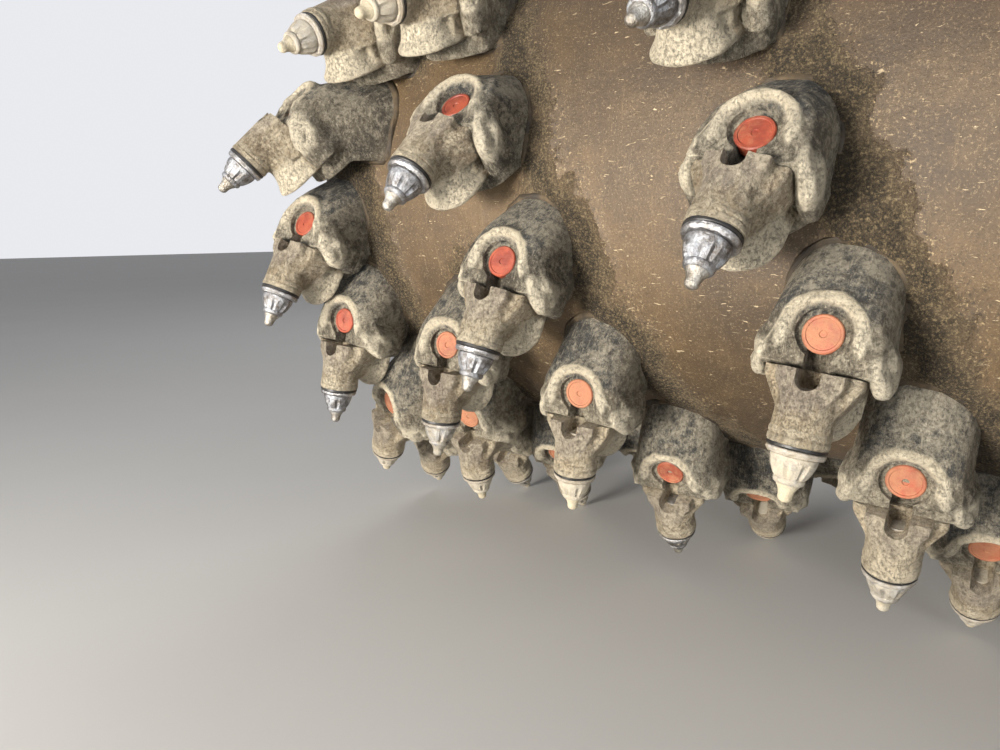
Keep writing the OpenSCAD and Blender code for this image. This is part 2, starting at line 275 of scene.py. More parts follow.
def soften(mesh, degrees=40):
    """Smooth shading, with edges over an angle kept sharp."""
    mesh.shade_smooth()
    mesh.set_sharp_from_angle(angle=math.radians(degrees))
    return mesh


def mark(mesh, name, value_of):
    """A number at each point, for the materials."""
    layer = mesh.attributes.get(name) or mesh.attributes.new(name, "FLOAT", "POINT")
    layer.data.foreach_set("value", [value_of(v.co) for v in mesh.vertices])


def between(value, low, high):
    """0 below low, 1 above high, and a smooth rise between."""
    t = max(0.0, min(1.0, (value - low) / (high - low)))
    return t * t * (3 - 2 * t)


# The toolholder's pieces, with the tip at the origin and X along the pick, or forwards for base and plug

def base_form():
    """Welded base: a hump over the foot, a horseshoe rim round the plug and two horns."""
    bm = bmesh.new()
    slab(bm, [(-38, -215), (-38, -113.5), (-80, -74), (-119, -113), (-126, -136), (-131, -215)],
         -BASE_HALF_W, BASE_HALF_W, turn("X", 90))
    side_view = as_mesh(bm, "base side")
    bm = bmesh.new()
    rod(bm, BASE_HALF_W, -230, -20, shift(BASE_ROUND_X, 0, 0))
    slab(bm, [(BASE_ROUND_X, -BASE_HALF_W), (-30, -BASE_HALF_W), (-30, BASE_HALF_W),
              (BASE_ROUND_X, BASE_HALF_W)], -230, -20)
    plan = rounded(as_mesh(bm, "base plan"), voxel=3.0, rounds=0)
    bm = bmesh.new()
    bm.from_mesh(cutting(side_view, plan, "INTERSECT"))
    at_plug = ALONG_PICK @ shift(PLUG_U, 0, 0)
    rod(bm, 47, -75, -2, at_plug, end_radius=43)
    rim = lathe([(-10, 0), (-10, 38.5), (0, 38), (7, 36.5), (12.5, 33.5), (15.5, 30.5), (14.5, 27.5),
                 (10.5, 24), (6, 22), (6, 0)], 48)
    bmesh.ops.transform(rim, matrix=turn("Y", -90), verts=rim.verts)
    cut = bmesh.ops.bisect_plane(rim, geom=list(rim.verts) + list(rim.edges) + list(rim.faces),
                                 plane_co=(6, 0, 0), plane_no=(1, 0, 0), clear_outer=True)["geom_cut"]
    bmesh.ops.edgenet_fill(rim, edges=[e for e in cut if isinstance(e, bmesh.types.BMEdge)])
    rim = as_mesh(rim, "rim")
    rim.transform(at_plug)
    bm.from_mesh(rim)
    for side in (-1, 1):
        horn = slab(bm, [(-160, side * 30), (-150, side * 40), (-138, side * 48), (-127, side * 55),
                         (-107, side * 56), (-99, side * 53), (-95.5, side * 47), (-98, side * 39.5),
                         (-122, side * 28)], -52, 4)
        for vert in horn:
            if vert.co.z > 0:
                vert.co.z -= 6 + 24 * between(vert.co.x, -142, -98)
        bmesh.ops.transform(bm, matrix=ALONG_PICK, verts=horn)
        ridge(bm, [(-139, side * 29, 8, 7), (-127, side * 33, 5, 8), (-116, side * 40, -2, 9),
                   (-107, side * 46.5, -11, 8.5), (-102, side * 47.5, -19, 7.5)], ALONG_PICK)
        ridge(bm, [(-133, side * 41, -8, 9), (-123, side * 46, -13, 9.5)], ALONG_PICK)
    whole = rounded(as_mesh(bm, "base whole"), voxel=1.9, rounds=12)
    bm = bmesh.new()
    seam = SEAM_U - SEAM_GAP
    slab(bm, [(seam, -40), (40, -40), (40, 40), (seam, 40)], -52.5, 80, ALONG_PICK)
    seat = as_mesh(bm, "seat")
    bm = bmesh.new()
    rod(bm, 20.5, 2, 80, at_plug, 40, 21.5)
    pocket = as_mesh(bm, "pocket")
    bm = bmesh.new()
    slab(bm, [(PLUG_U, -9.6), (-70, -9.6), (-70, 9.6), (PLUG_U, 9.6)], SLOT_FLOOR, 80, ALONG_PICK)
    slot = as_mesh(bm, "slot")
    return cutting(cutting(cutting(whole, seat), pocket), slot)


def base_mesh(form, tilt, side, triangles):
    """The base cut to the tube's round, turned as on the drum, with the tip at the origin."""
    lean = tool_lean(tilt, side)
    placed = form.copy()
    placed.transform(lean)
    bm = bmesh.new()
    rod(bm, TUBE_R - 1, -400, 400, shift(0, 0, -TIP_R) @ turn("X", 90), 120)
    placed = thinned(cutting(placed, as_mesh(bm, "core")), triangles)
    back = (lean @ ALONG_PICK).inverted()

    # Horn fronts and rim top: pale wear, with painted light on the horns' front faces
    def worn(co):
        p = back @ co
        ahead = between(p.x, -142, -112)
        beside = 5 * between(p.x, -126, -110)
        horn = ahead * between(abs(p.y), 32 + beside, 42 + beside) * between(p.z, -46, -24 + 10 * ahead)
        rim = between(p.z, 6, 13) * between(38 - (Vector((p.x - PLUG_U, p.y)).length), 0, 5)
        return max(horn, 0.85 * rim)

    # Hump behind the plug: bare steel, with painted shade on its upward faces
    def bare_and_shaded(co):
        p = back @ co
        return between(-p.x, 128, 172) * between(p.z, -60, -4)

    mark(placed, "worn", worn)
    mark(placed, "bare_and_shaded", bare_and_shaded)
    return soften(placed, 38)


def holder_form(triangles):
    """Upper holder: barrel, shoulders, bib and slot, with a dark-banded collar. X is along the pick."""
    bm = bmesh.new()
    rod(bm, 23.6, -125, -30, turn("Y", 90))
    slab(bm, [(-125, -38), (-99, -38), (-87, -31), (-68, -19), (-68, 19), (-87, 31), (-99, 38),
              (-125, 38)], -30, 5)
    slab(bm, [(-125, -26), (-97, -26), (-74, -12), (-74, 12), (-97, 26), (-125, 26)], 0, 18)
    bib = as_mesh(lathe([(-57, 0), (-57, 32.5), (-55.5, 34.5), (-51.5, 34.5), (-48, 31.5), (-42, 27.5),
                         (-34, 25), (-12, 23.5), (-12, 0)], 60), "bib")
    bib.transform(shift(-82, 0, 0) @ turn("Y", -90))
    bm.from_mesh(bib)
    slab(bm, [(-125, -34.5), (-88, -34.5), (-88, 34.5), (-125, 34.5)], -57, -50)
    slab(bm, [(-125, -31), (-94, -31), (-94, 31), (-125, 31)], -51, -20)
    whole = rounded(as_mesh(bm, "holder whole"), voxel=1.7, rounds=18)
    bm = bmesh.new()
    slab(bm, [(-140, -70), (SEAM_U, -70), (SEAM_U, 70), (-140, 70)], -90, 90)
    back = as_mesh(bm, "back")
    bm = bmesh.new()
    slab(bm, [(-48, -70), (0, -70), (0, 70), (-48, 70)], -90, 90)
    front = as_mesh(bm, "front")
    bm = bmesh.new()
    rod(bm, 9.4, -8, 80, shift(-100.5, 0, 0), 28)
    slab(bm, [(-120, -9.4), (-100.5, -9.4), (-100.5, 9.4), (-120, 9.4)], -8, 80)
    slot = rounded(as_mesh(bm, "slot"), voxel=1.5, rounds=2)
    body = thinned(cutting(cutting(cutting(whole, back), front), slot), triangles)

    # Bib and shoulder edges: pale wear, with painted light on the bib
    def worn(co):
        bib = between(-co.z, 18, 34) * between(co.x, -106, -84)
        shoulder = between(abs(co.y), 27, 35) * between(co.z, 2, 12)
        return max(bib, shoulder, 0.5 * between(co.x, -56, -49))

    mark(body, "worn", worn)
    mark(body, "bare_and_shaded", lambda co: between(co.z, 8, 20) * between(-co.x, 62, 88))
    bm = lathe([(PLATE_BACK_U, 12), (PLATE_BACK_U, 22.6), (-45.2, 23.4), (-47.4, 23.4), (-47.6, 22.6),
                (-48.6, 22.8), (-49.2, 24.1), (-53.0, 24.1), (-53.7, 23.2), (-54.5, 23.2), (-55.2, 24.1),
                (-59.0, 24.0), (-61.5, 22.6), (-61.5, 12)], 24)
    for face in bm.faces:
        face.material_index = 1 if face.calc_center_median().x > -47.5 else 0
    collar = as_mesh(bm, "barrel collar")
    mark(collar, "worn", lambda co: 0.5)
    mark(collar, "bare_and_shaded", lambda co: 0.2)
    bm = bmesh.new()
    bm.from_mesh(soften(body, 42))
    bm.from_mesh(soften(collar, 35))
    return as_mesh(bm, "holder")


def pick_form():
    """The pick's steel body with its flutes, and its shank."""
    bm = lathe([(-15.1, 0), (-15.1, 9.6), (-15.9, 11.3), (-17.4, 12.2), (-19.6, 12.4), (-20.6, 12.0),
                (-22.5, 13.7), (-27, 15.9), (-32, 17.7), (-35.5, 18.4), (-38.0, 18.4), (-38.9, 17.6),
                (-38.9, 9.2), (-93, 9.2), (-93, 0)], 32)
    for vert in bm.verts:
        flute = between(-vert.co.x, 19.8, 23) * between(vert.co.x, -36.5, -33)
        radius = Vector((vert.co.y, vert.co.z)).length
        if flute > 0 and radius > 5:
            angle = math.atan2(vert.co.z, vert.co.y)
            share = 1 - FLUTE_DEPTH * flute * max(0.0, math.cos(FLUTES * angle)) / radius
            vert.co.y *= share
            vert.co.z *= share
    return soften(as_mesh(bm, "pick"), 34)


def tip_form():
    """The carbide tip."""
    return soften(as_mesh(lathe([
        (-15.0, 0), (-15.0, 9.4), (-14.0, 9.0), (-11.8, 7.5), (-9.0, 6.3), (-6.4, 5.8), (-4.4, 5.8),
        (-2.6, 5.2), (-1.2, 3.9), (-0.3, 2.2), (0, 0)], 18), "tip"), 50)


def plate_form():
    """The wear plate, with facets round its front edge."""
    bm = lathe([(-39.1, 10), (-39.1, 21.9), (-41.4, 23.1), (-43.4, 23.1), (-44.1, 22.4),
                (-44.1, 10)], 24)
    for vert in bm.verts:
        if vert.co.x > -39.5 and Vector((vert.co.y, vert.co.z)).length > 15:
            facet = round(math.degrees(math.atan2(vert.co.z, vert.co.y)) / 15) % 2
            share = 0.93 if facet else 1.0
            vert.co.y *= share
            vert.co.z *= share
    bmesh.ops.recalc_face_normals(bm, faces=bm.faces)
    return soften(as_mesh(bm, "plate"), 25)


def plug_form():
    """The plug in the base, with a plain raised ring."""
    mesh = as_mesh(lathe([(-6, 0), (-6, 16), (2.9, 16), (3.9, 15.0), (3.9, 13.2), (3.1, 12.6),
                          (3.1, 3.2), (2.2, 2.6), (2.2, 0)], 24), "plug")
    mesh.transform(ALONG_PICK @ shift(PLUG_U, 0, 0) @ turn("Y", -90))
    return soften(mesh, 35)


# Placing the tools on the drum

def piece(name, mesh, body, materials, replaced=()):
    """A finished piece that moves with a body and stands for the CAD nodes that it replaces."""
    obj = bpy.data.objects.new(name, mesh)
    bpy.context.scene.collection.objects.link(obj)
    for material in materials:
        mesh.materials.append(material)
    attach(obj, body)
    if replaced:
        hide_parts(*replaced)


def array_of(form, rows, side, in_tool_frame=True, lump=0.0):
    """One mesh with a copy of the form at every row, each with its own shade."""
    bm = bmesh.new()
    for angle, out, tilt in rows:
        copy = (form if isinstance(form, bpy.types.Mesh) else form[tilt, side]).copy()
        where = tool_seat(angle, out, side)
        if in_tool_frame:
            where = where @ tool_lean(tilt, side)
        copy.transform(where)
        draw = random.Random(round(angle * 10) * 7 + round(out) * 131 + side)
        shade = 0.1 * draw.random() if (angle, out) in BRIGHT_PICKS else 0.35 + 0.65 * draw.random()
        layer = copy.attributes.new("shade", "FLOAT", "POINT")
        layer.data.foreach_set("value", [shade] * len(copy.vertices))
        if lump:
            offset = Vector((draw.random(), draw.random(), draw.random())) * 40
            for v in copy.vertices:
                bulge = noise.noise(v.co / 21 + offset) + 0.5 * noise.noise(v.co / 8 + offset)
                v.co += v.normal * lump * bulge
        copy.transform(TO_METRES)
        bm.from_mesh(copy)
        bpy.data.meshes.remove(copy)
    return as_mesh(bm, "tools")


# Finishes

def linear(red, green, blue):
    """A colour as a photo shows it, for Blender's sockets."""
    return [c / 255 / 12.92 if c <= 10 else ((c / 255 + 0.055) / 1.055) ** 2.4
            for c in (red, green, blue)] + [1.0]


class Finish:
    """A material; each call adds one node and gives its output."""

    def __init__(self, name):
        self.material = bpy.data.materials.new(name)
        self.material.use_nodes = True
        self.tree = self.material.node_tree
        self.shader = self.tree.nodes["Principled BSDF"]
        self.object_place = self.node("ShaderNodeTexCoord").outputs["Object"]

    def node(self, kind, **settings):
        made = self.tree.nodes.new(kind)
        for key, value in settings.items():
            setattr(made, key, value)
        return made

    def feed(self, socket, value):
        if isinstance(value, bpy.types.NodeSocket):
            self.tree.links.new(value, socket)
        else:
            socket.default_value = value

    def noise(self, scale, detail=3.0, roughness=0.6, place=None, distortion=0.0):
        made = self.node("ShaderNodeTexNoise")
        self.feed(made.inputs["Vector"], place or self.object_place)
        for key, value in (("Scale", scale), ("Detail", detail), ("Roughness", roughness),
                           ("Distortion", distortion)):
            made.inputs[key].default_value = value
        return made.outputs["Fac"]

    def stretched(self, x, y, z, place=None):
        made = self.node("ShaderNodeMapping")
        self.feed(made.inputs["Vector"], place or self.object_place)
        made.inputs["Scale"].default_value = (x, y, z)
        return made.outputs["Vector"]

    def data(self, name):
        return self.node("ShaderNodeAttribute", attribute_name=name).outputs["Fac"]

    def uv(self):
        return self.node("ShaderNodeTexCoord").outputs["UV"]

    def rise(self, value, low, high):
        """0 below low, 1 above high, smooth between."""
        made = self.node("ShaderNodeMapRange", interpolation_type="SMOOTHSTEP")
        self.feed(made.inputs["Value"], value)
        made.inputs["From Min"].default_value = low
        made.inputs["From Max"].default_value = high
        return made.outputs["Result"]

    def maths(self, operation, first, second):
        made = self.node("ShaderNodeMath", operation=operation)
        self.feed(made.inputs[0], first)
        self.feed(made.inputs[1], second)
        return made.outputs[0]

    def times(self, first, second):
        return self.maths("MULTIPLY", first, second)

    def plus(self, first, second):
        return self.maths("ADD", first, second)

    def blend(self, share, first, second):
        made = self.node("ShaderNodeMix", data_type="RGBA")
        self.feed(made.inputs["Factor"], share)
        self.feed(made.inputs[6], first)
        self.feed(made.inputs[7], second)
        return made.outputs[2]

    def bump(self, height, depth, normal=None):
        made = self.node("ShaderNodeBump")
        made.inputs["Strength"].default_value = 1.0
        made.inputs["Distance"].default_value = depth
        self.feed(made.inputs["Height"], height)
        if normal is not None:
            self.feed(made.inputs["Normal"], normal)
        return made.outputs["Normal"]

    def done(self, colour, roughness, metallic, normal=None):
        self.feed(self.shader.inputs["Base Color"], colour)
        self.feed(self.shader.inputs["Roughness"], roughness)
        self.feed(self.shader.inputs["Metallic"], metallic)
        if normal is not None:
            self.feed(self.shader.inputs["Normal"], normal)
        return self.material


def forged_steel(name, main, dark, pale, polished_and_shaded, dusting):
    """Forged steel scoured and dusted by milling: pits, pale worn edges with painted light, and bare humps
    with painted shade.
    """
    f = Finish(name)
    shade = f.data("shade")
    patches = f.rise(f.plus(f.noise(15, 5, 0.6), f.times(shade, 0.14)), 0.36, 0.68)
    colour = f.blend(patches, dark, main)
    # Bare polished steel, made darker on the base humps as painted shade on their upward faces
    bare_and_shaded = f.rise(f.plus(f.data("bare_and_shaded"), f.times(f.noise(34, 6, 0.75), 1.1)), 0.85, 1.25)
    colour = f.blend(f.times(bare_and_shaded, 0.8), colour, polished_and_shaded)
    dust = f.rise(f.plus(f.noise(105, 7, 0.85), f.times(f.noise(11, 3), 0.5)), 0.66, 0.87)
    colour = f.blend(f.times(dust, dusting), colour, pale)
    # Pale worn edges, made paler as painted light on the base horns and the bibs
    worn = f.rise(f.plus(f.data("worn"), f.times(f.noise(75, 8, 0.85), 1.5)), 1.05, 1.5)
    colour = f.blend(f.times(worn, 0.96), colour, pale)
    brown = f.rise(f.noise(70, 7, 0.85), 0.5, 0.68)
    colour = f.blend(f.times(brown, 0.36), colour, linear(104, 86, 64))
    scratch = f.rise(f.noise(1, 5, 0.7, f.stretched(70, 430, 70)), 0.53, 0.66)
    colour = f.blend(f.times(scratch, 0.4), colour, pale)
    grit = f.rise(f.noise(300, 6, 0.9), 0.5, 0.63)
    colour = f.blend(f.times(grit, 0.5), colour, linear(72, 61, 47))
    flecks = f.rise(f.noise(260, 6, 0.9), 0.56, 0.64)
    colour = f.blend(f.times(flecks, 0.6), colour, linear(232, 222, 198))
    grain = f.noise(210, 7, 0.85)
    rough = f.plus(0.52, f.times(grain, 0.35))
    normal = f.bump(f.noise(46, 6, 0.7), 0.008)
    normal = f.bump(f.plus(grain, f.plus(f.times(grit, -0.5), f.times(scratch, 0.2))), 0.0042, normal)
    return f.done(colour, rough, f.times(bare_and_shaded, 0.35), normal)


def shell_steel():
    """The tube: scoured brown steel, streaks round the drum, crust round the bases."""
    f = Finish("scoured_shell")
    around = f.uv()
    broad = f.rise(f.noise(3.2, 4), 0.36, 0.66)
    colour = f.blend(broad, linear(68, 55, 41), linear(100, 80, 54))
    film = f.rise(f.noise(15, 6, 0.72), 0.42, 0.75)
    colour = f.blend(f.times(film, 0.5), colour, linear(112, 92, 66))
    mottle = f.rise(f.noise(55, 7, 0.85), 0.46, 0.66)
    colour = f.blend(f.times(mottle, 0.42), colour, linear(62, 50, 37))
    streak = f.rise(f.noise(1, 4, 0.65, f.stretched(11, 150, 1, around)), 0.58, 0.78)
    colour = f.blend(f.times(streak, 0.3), colour, linear(158, 137, 104))
    nicks = f.rise(f.noise(1, 2, 0.5, f.stretched(300, 95, 1, around), 0.8), 0.665, 0.74)
    colour = f.blend(f.times(nicks, 0.75), colour, linear(216, 196, 160))
    fine = f.noise(520, 4, 0.8)
    colour = f.blend(f.times(f.rise(fine, 0.48, 0.66), 0.6), colour, linear(60, 49, 36))
    dots = f.rise(f.noise(440, 4, 0.8), 0.55, 0.65)
    colour = f.blend(f.times(dots, 0.34), colour, linear(180, 158, 122))
    near = f.data("crust")
    ragged = f.plus(near, f.plus(f.times(f.noise(19, 7, 0.8), 1.5), -0.8))
    crust = f.rise(ragged, 0.3, 0.62)
    black = f.times(f.rise(ragged, 0.42, 0.75), f.rise(f.noise(330, 6, 0.85), 0.43, 0.56))
    chips = f.rise(f.noise(420, 5, 0.8), 0.48, 0.6)
    crust_colour = f.blend(f.times(chips, 0.85), linear(88, 75, 56), linear(164, 144, 108))
    crust_colour = f.blend(f.times(black, 0.86), crust_colour, linear(34, 29, 24))
    scatter = f.times(f.rise(ragged, -0.15, 0.4), f.rise(f.noise(260, 4, 0.75), 0.56, 0.62))
    pale_scatter = f.times(f.rise(ragged, -0.05, 0.35), f.rise(f.noise(310, 4, 0.75), 0.57, 0.64))
    stain = f.rise(ragged, -0.1, 0.45)
    colour = f.blend(f.times(stain, 0.45), colour, linear(72, 59, 44))
    colour = f.blend(f.times(pale_scatter, 0.8), colour, linear(168, 148, 112))
    colour = f.blend(f.times(scatter, 0.75), colour, linear(42, 35, 28))
    colour = f.blend(crust, colour, crust_colour)
    rough = f.plus(0.4, f.plus(f.times(crust, 0.5), f.times(fine, 0.2)))
    normal = f.bump(f.plus(f.noise(60, 4), f.times(streak, 0.25)), 0.001)
    normal = f.bump(f.times(crust, f.plus(f.noise(170, 6, 0.8), f.times(black, -0.4))), 0.006, normal)
    normal = f.bump(f.plus(fine, f.times(nicks, 0.8)), 0.0006, normal)
    return f.done(colour, rough, f.times(f.maths("SUBTRACT", 1.0, crust), 0.2), normal)


def bright_steel(name, clean, soiled, dust, dusting, polish):
    """Steel polished by the milled material, under a film of dust that differs from tool to tool."""
    f = Finish(name)
    shade = f.data("shade")
    tone = f.rise(f.noise(70, 6, 0.8), 0.36, 0.64)
    colour = f.blend(tone, soiled, clean)
    film = f.rise(f.plus(f.noise(85, 7, 0.8), f.times(shade, 0.8)), 0.7, 1.15)
    colour = f.blend(f.times(film, dusting), colour, dust)
    scratch = f.noise(520, 3, 0.7)
    rough = f.plus(polish, f.plus(f.times(film, 0.42), f.times(scratch, 0.12)))
    metal = f.maths("SUBTRACT", 1.0, f.times(film, 0.85))
    return f.done(colour, rough, metal, f.bump(f.plus(scratch, f.noise(130, 5, 0.7)), 0.0009))


def plug_plastic():
    """Orange plastic under a film of dust."""
    f = Finish("orange_plug")
    film = f.rise(f.plus(f.noise(75, 7, 0.8), f.times(f.data("shade"), 0.3)), 0.5, 0.78)
    colour = f.blend(f.rise(f.noise(45, 3), 0.35, 0.65), linear(120, 50, 36), linear(152, 71, 48))
    colour = f.blend(f.times(film, 0.55), colour, linear(168, 128, 94))
    pits = f.rise(f.noise(600, 2), 0.6, 0.7)
    colour = f.blend(f.times(pits, 0.5), colour, linear(96, 44, 32))
    return f.done(colour, f.plus(0.5, f.times(film, 0.3)), 0.0, f.bump(f.noise(260, 3), 0.0005))


def dark_band():
    """The dark band behind the wear plate."""
    f = Finish("seat_band")
    film = f.rise(f.noise(140, 4, 0.7), 0.5, 0.75)
    colour = f.blend(f.times(film, 0.35), linear(24, 23, 23), linear(96, 86, 70))
    return f.done(colour, f.plus(0.45, f.times(film, 0.4)), 0.0, f.bump(f.noise(300, 2), 0.0003))


def weld_metal():
    """Weld beads, soiled and in places black."""
    f = Finish("weld_metal")
    tone = f.rise(f.noise(70, 4), 0.35, 0.65)
    colour = f.blend(tone, linear(62, 52, 39), linear(92, 78, 58))
    colour = f.blend(f.times(f.rise(f.noise(24, 3), 0.42, 0.6), 0.8), colour, linear(42, 36, 29))
    normal = f.bump(f.noise(210, 4, 0.7), 0.0016)
    return f.done(colour, f.plus(0.62, f.times(tone, 0.25)), 0.1, normal)


def machined_steel(name, clean, oiled, axis_scale):
    """Turned steel with fine rings, oil stains and light rust."""
    f = Finish(name)
    rings = f.noise(1, 2, 0.5, f.stretched(*axis_scale))
    stain = f.rise(f.noise(9, 5, 0.65), 0.45, 0.7)
    colour = f.blend(stain, clean, oiled)
    rust = f.rise(f.noise(22, 5, 0.7), 0.62, 0.78)
    colour = f.blend(f.times(rust, 0.7), colour, linear(112, 70, 42))
    rough = f.plus(0.3, f.plus(f.times(rings, 0.15), f.times(rust, 0.4)))
    metal = f.maths("SUBTRACT", 0.95, f.times(rust, 0.8))
    return f.done(colour, rough, metal, f.bump(f.plus(rings, f.noise(180, 3)), 0.0004))


def gear_paint():
    """Grey paint with stains and chips."""
    f = Finish("gear_case_paint")
    stain = f.rise(f.noise(11, 5, 0.65), 0.42, 0.72)
    colour = f.blend(f.times(stain, 0.6), linear(66, 70, 74), linear(96, 84, 66))
    chips = f.rise(f.noise(75, 4, 0.7), 0.66, 0.72)
    colour = f.blend(f.times(chips, 0.8), colour, linear(120, 84, 56))
    return f.done(colour, f.plus(0.42, f.times(stain, 0.3)), 0.0, f.bump(f.noise(240, 3), 0.0004))


# The base's pale colour also carries painted light on the horns; its dark polished colour is bare steel with
# painted shade on the humps
base_steel = forged_steel("base_steel", linear(124, 114, 96), linear(68, 62, 51),
                          linear(234, 222, 196), linear(68, 73, 77), 0.5)
holder_steel = forged_steel("holder_steel", linear(184, 166, 137), linear(134, 117, 92),
                            linear(232, 219, 192), linear(150, 140, 128), 0.55)
plate_steel = bright_steel("plate_steel", linear(202, 202, 204), linear(130, 126, 122),
                           linear(160, 146, 120), 0.7, 0.32)
pick_steel = bright_steel("pick_steel", linear(172, 174, 178), linear(104, 98, 92),
                          linear(184, 174, 154), 0.84, 0.4)
carbide = bright_steel("carbide", linear(190, 187, 180), linear(132, 124, 112),
                       linear(192, 180, 152), 0.85, 0.4)
orange_plug = plug_plastic()
seat_band = dark_band()
weld = weld_metal()
shell = shell_steel()
turned_steel = machined_steel("turned_steel", linear(150, 150, 152), linear(86, 76, 62), (60, 900, 60))
ring_steel = forged_steel("plate_paint", linear(122, 104, 76), linear(74, 60, 44),
                          linear(160, 140, 108), linear(110, 104, 94), 0.5)
paddle_steel = forged_steel("paddle_steel", linear(120, 108, 88), linear(70, 62, 50),
                            linear(182, 170, 140), linear(128, 128, 128), 0.5)
case_paint = gear_paint()


# The tools

base = base_form()
bases = {}
for _, side in SIDES:
    for tilt in sorted({row[2] for row in edge_rows()}):
        bases[tilt, side] = base_mesh(base, tilt, side, BASE_TRIANGLES)
holder = holder_form(HOLDER_TRIANGLES)
holder.transform(ALONG_PICK)
pick, tip, plate, plug = pick_form(), tip_form(), plate_form(), plug_form()
for made in (pick, tip, plate):
    made.transform(ALONG_PICK)

for name, side in SIDES:
    for row in FLIGHTS:
        rows = flight_rows(row, side)
        node = f"{name}_{row[0]}"
        piece(f"welded_bases_{node}", array_of(bases, rows, side, False, BASE_LUMP),
              "drum", [base_steel], [f"bases_{node}"])
        piece(f"toolholders_{node}", array_of(holder, rows, side, True, HOLDER_LUMP),
              "drum", [holder_steel, seat_band], [f"holders_{node}"])
    rows = edge_rows()
    piece(f"edge_bases_{name}", array_of(bases, rows, side, False, BASE_LUMP),
          "drum", [base_steel], [f"edge_segments_{name}"])
    piece(f"edge_toolholders_{name}", array_of(holder, rows, side, True, HOLDER_LUMP),
          "drum", [holder_steel, seat_band], [f"edge_holders_{name}"])
    rows = all_rows(side)
    for title, form, slot, material, node in (
            ("orange_plugs", plug, "plug_plastic", orange_plug, "lock_plugs"),
            ("facetted_plates", plate, "plate_steel", plate_steel, "wear_plates"),
            ("round_picks", pick, "pick_steel", pick_steel, "picks"),
            ("tips", tip, "carbide", carbide, "carbide_tips")):
        piece(f"{title}_{name}", array_of(form, rows, side), "drum", [material], [f"{node}_{name}"])


# The tube with the crust that builds up beside the bases

def crust_field():
    """Where crust gathers: beside each base, on the side towards the drum's middle."""
    spots = [(tool, side) for _, side in SIDES for tool in all_rows(side)]
    tree = kdtree.KDTree(3 * len(spots))
    for number, ((angle, out, _), side) in enumerate(spots):
        where = tool_seat(angle, out, side) @ tool_lean(0, side)
        for k, (x, y) in enumerate(((-60, 52), (-112, 44), (-150, 6))):
            p = where @ Vector((x, side * y, -150))
            flat = Vector((p.x, 0, p.z)).normalized() * TUBE_R
            tree.insert(Vector((flat.x, p.y, flat.z)), 3 * number + k)
    tree.balance()
    return tree


def drum_shell():
    """The tube from a grid rolled up, with its crust, its bore and flat ends."""
    bm = bmesh.new()
    bmesh.ops.create_grid(bm, x_segments=SHELL_AROUND, y_segments=SHELL_ALONG, size=0.5)
    layer = bm.loops.layers.uv.new("wrap")
    for face in bm.faces:
        for loop in face.loops:
            loop[layer].uv = ((loop.vert.co.x + 0.5) * math.tau * TUBE_R / 1000,
                              (loop.vert.co.y + 0.5) * (TUBE_END - TUBE_START) / 1000)
    crust = bm.verts.layers.float.new("crust")
    tree = crust_field()
    for vert in bm.verts:
        angle = (vert.co.x + 0.5) * math.tau
        y = TUBE_START + (vert.co.y + 0.5) * (TUBE_END - TUBE_START)
        at = Vector((TUBE_R * math.cos(angle), y, -TUBE_R * math.sin(angle)))
        heap = sum(math.exp(-(distance / CRUST_SPREAD) ** 2)
                   for _, _, distance in tree.find_range(at, CRUST_REACH))
        rough = noise.fractal(at / 45, 0.7, 2.1, 4)
        share = min(1.0, 0.72 * heap) * (0.85 + 0.5 * rough)
        share *= between(y, TUBE_START, TUBE_START + CRUST_MARGIN)
        share *= between(-y, -TUBE_END, CRUST_MARGIN - TUBE_END)
        vert[crust] = share
        radius = TUBE_R + CRUST_HEIGHT * max(0.0, share - 0.25) + 0.35 * noise.noise(at / 70)
        vert.co = Vector((radius * math.cos(angle), y, -radius * math.sin(angle)))
    bmesh.ops.remove_doubles(bm, verts=bm.verts, dist=0.01)
    inner = []
    for end in (TUBE_START, TUBE_END):
        rim = [e for e in bm.edges if e.is_boundary and abs(e.verts[0].co.y - end) < 0.1
               and abs(e.verts[1].co.y - end) < 0.1]
        grown = bmesh.ops.extrude_edge_only(bm, edges=rim)["geom"]
        for vert in (v for v in grown if isinstance(v, bmesh.types.BMVert)):
            flat = Vector((vert.co.x, 0, vert.co.z)).normalized() * TUBE_BORE_R
            vert.co = Vector((flat.x, end, flat.z))
            vert[crust] = 0.0
        inner += [e for e in grown if isinstance(e, bmesh.types.BMEdge)]
    bmesh.ops.bridge_loops(bm, edges=inner)
    bmesh.ops.recalc_face_normals(bm, faces=bm.faces)
    bmesh.ops.transform(bm, matrix=TO_METRES, verts=bm.verts)
    return soften(as_mesh(bm, "drum shell"), 50)


piece("drum_shell", drum_shell(), "drum", [shell], ["drum_tube"])


# Ejectors in the drum's middle

